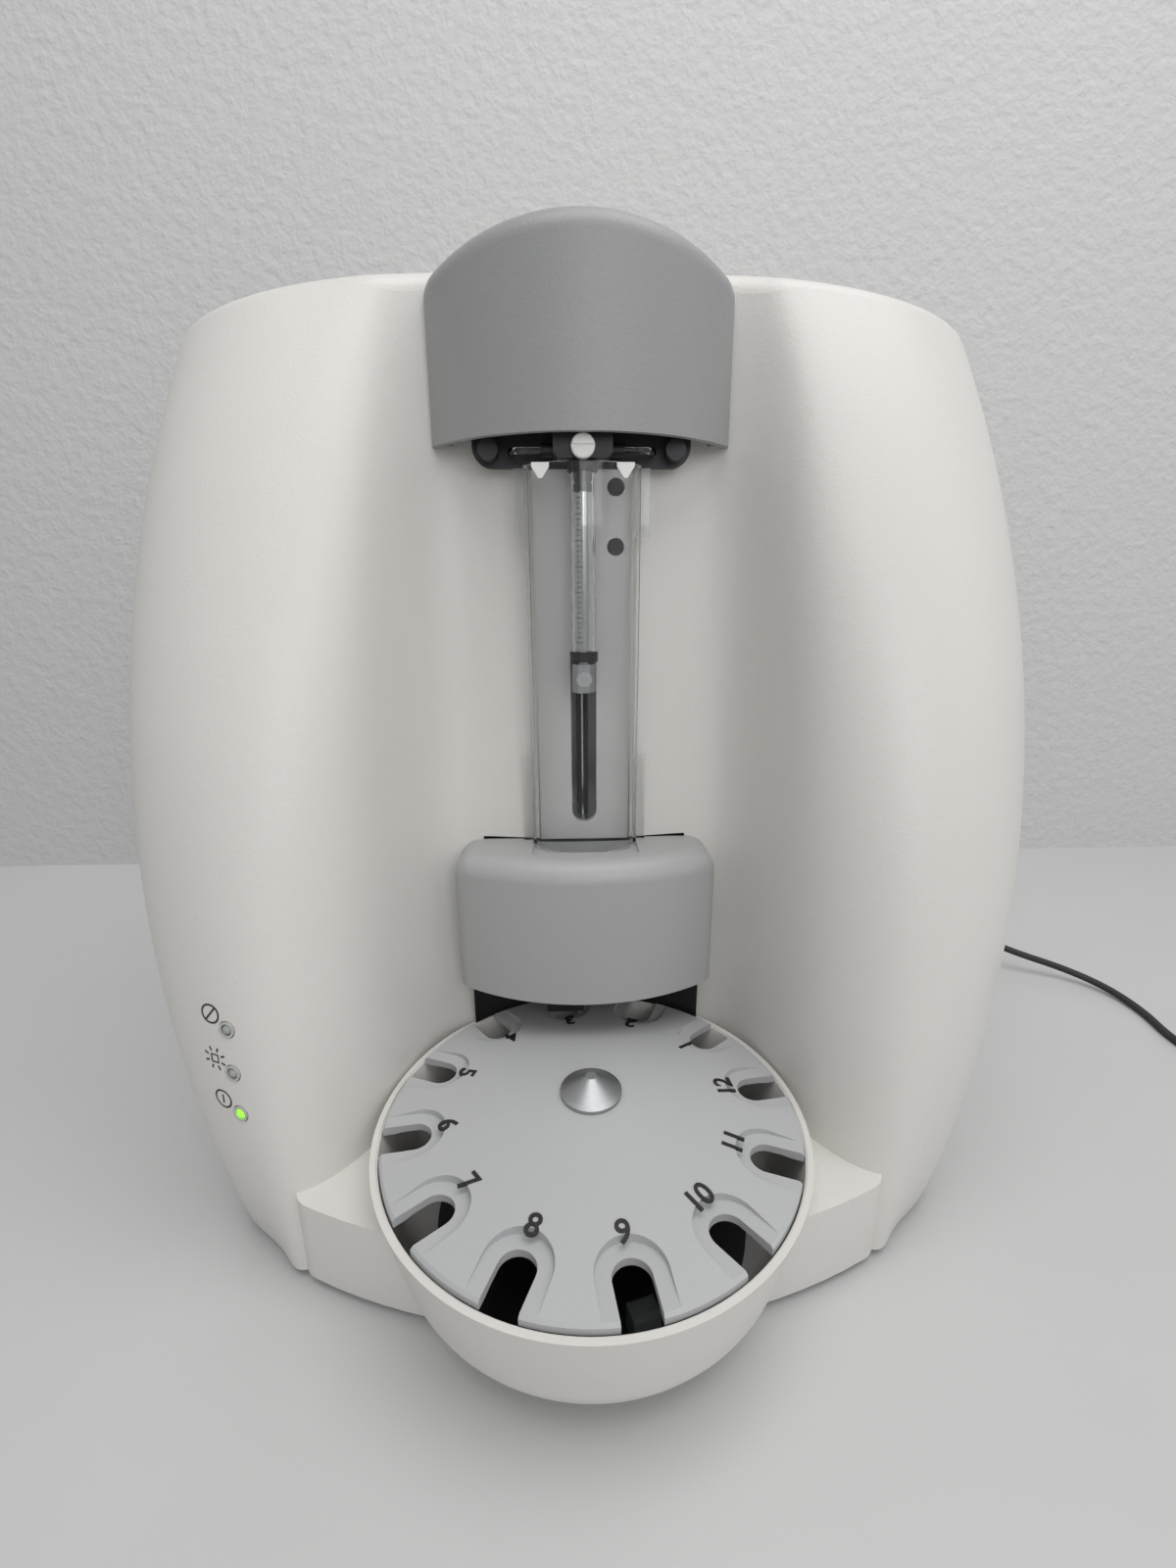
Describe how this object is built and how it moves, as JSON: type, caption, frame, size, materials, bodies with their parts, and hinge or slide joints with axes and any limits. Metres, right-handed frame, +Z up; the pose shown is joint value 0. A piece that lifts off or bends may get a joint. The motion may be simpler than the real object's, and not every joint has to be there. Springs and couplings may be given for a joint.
{
  "type": "automated cell counter",
  "caption": "Bench cell counter with a moulded housing, a cup carousel, a syringe pump behind a clear guard, a probe drive and an imaging bench.",
  "frame": {"origin": "on the bench, under the middle of the housing's own box", "axes": "+X to the instrument's right, +Y to its back, +Z up"},
  "size_m": [0.616, 0.4911, 0.4082],
  "materials": {
    "housing": "fine moulded texture, off-white",
    "cover": "fine moulded texture, mid grey",
    "plate_grey": "satin grey",
    "dark_plate": "satin black",
    "black_plastic": "satin black",
    "disc": "light grey moulded",
    "clear": "clear acrylic",
    "glass": "clear",
    "steel": "bright",
    "alloy": "turned",
    "rubber": "matt black",
    "white_plastic": "satin white",
    "zinc": "zinc plated sheet",
    "board": "green solder mask",
    "bezel": "grey",
    "lens": "translucent",
    "tubing": "clear tubing",
    "cord": "matt black"
  },
  "bodies": {
    "housing": {"front_shell": "housing", "rear_cover": "housing", "tray_bowl": "housing", "base_plate": "zinc", "feet": "rubber", "tray_liner": "black_plastic", "cavity_shroud": "black_plastic", "cup_sensor": "black_plastic", "carousel_motor": "black_plastic", "upper_cover": "cover", "lower_cover": "cover", "clear_guard": "clear", "channel_plate": "plate_grey", "under_plate": "dark_plate", "valve_body": "black_plastic", "valve_motor": "steel", "valve_tubing": "tubing", "syringe_barrel": "glass", "barrel_collars": "black_plastic", "pump_frame": "zinc", "syringe_motor": "black_plastic", "probe_bracket": "dark_plate", "probe_belt": "rubber", "probe_motor": "black_plastic", "upright": "zinc", "control_board": "board", "power_supply": "zinc", "optics_base": "alloy", "lamp_housing": "alloy", "flow_cell": "glass", "objective_lens": "black_plastic", "camera_body": "black_plastic", "rear_panel": "zinc", "fan_frame": "black_plastic", "power_inlet": "black_plastic", "switch_frame": "black_plastic", "data_port": "steel", "fluid_fittings": "white_plastic", "lamp_bezels": "bezel", "lamp_lenses": "lens", "lead_connector": "cord", "lead_tube": "cord", "lead_coil": "cord", "lead_plug": "cord"},
    "carousel": {"carousel_disc": "disc", "carousel_knob": "alloy", "carousel_spindle": "steel"},
    "plunger": {"plunger_rod": "steel", "plunger_seal": "rubber", "plunger_clamp": "alloy", "clamp_screw": "steel", "syringe_carriage": "alloy"},
    "lead_screw": {"lead_screw": "steel"},
    "valve_rotor": {"valve_rotor": "white_plastic"},
    "probe": {"probe_arm": "alloy", "probe_needle": "steel"},
    "drive_pulley": {"drive_pulley": "alloy"},
    "idler_pulley": {"idler_pulley": "alloy"},
    "fan_rotor": {"fan_rotor": "black_plastic"},
    "switch_rocker": {"switch_rocker": "black_plastic"}
  },
  "joints": [
    {"name": "carousel_turn", "type": "hinge", "parent": "housing", "child": "carousel", "pos_m": [0, -0.117, 0.0695], "axis": [0, 0, 1], "continuous": true},
    {"name": "plunger_slide", "type": "slide", "parent": "housing", "child": "plunger", "axis": [0, 0, -1], "range_m": [0, 0.06]},
    {"name": "lead_screw_turn", "type": "hinge", "parent": "housing", "child": "lead_screw", "pos_m": [0, -0.008, 0.15], "axis": [0, 0, -1], "range_deg": [0, 1801]},
    {"name": "valve_turn", "type": "hinge", "parent": "housing", "child": "valve_rotor", "pos_m": [0, -0.0595, 0.3159], "axis": [0, 1, 0], "range_deg": [0, 120]},
    {"name": "probe_slide", "type": "slide", "parent": "housing", "child": "probe", "axis": [0, 0, -1], "range_m": [0, 0.042]},
    {"name": "drive_pulley_turn", "type": "hinge", "parent": "housing", "child": "drive_pulley", "pos_m": [0.038, -0.0482, 0.138], "axis": [0, 1, 0], "range_deg": [-306, 0]},
    {"name": "idler_pulley_turn", "type": "hinge", "parent": "housing", "child": "idler_pulley", "pos_m": [0.038, -0.0482, 0.098], "axis": [0, 1, 0], "range_deg": [-306, 0]},
    {"name": "fan_turn", "type": "hinge", "parent": "housing", "child": "fan_rotor", "pos_m": [0.062, 0.18, 0.25], "axis": [0, 1, 0], "continuous": true},
    {"name": "switch_rock", "type": "hinge", "parent": "housing", "child": "switch_rocker", "pos_m": [-0.092, 0.1867, 0.098], "axis": [-1, 0, 0], "range_deg": [0, 24]}
  ],
  "couplings": [
    {"joint": "lead_screw_turn", "follows": "plunger_slide", "rad_per_m": 523.6},
    {"joint": "drive_pulley_turn", "follows": "probe_slide", "rad_per_m": -126.58},
    {"joint": "idler_pulley_turn", "follows": "probe_slide", "rad_per_m": -126.58}
  ]
}
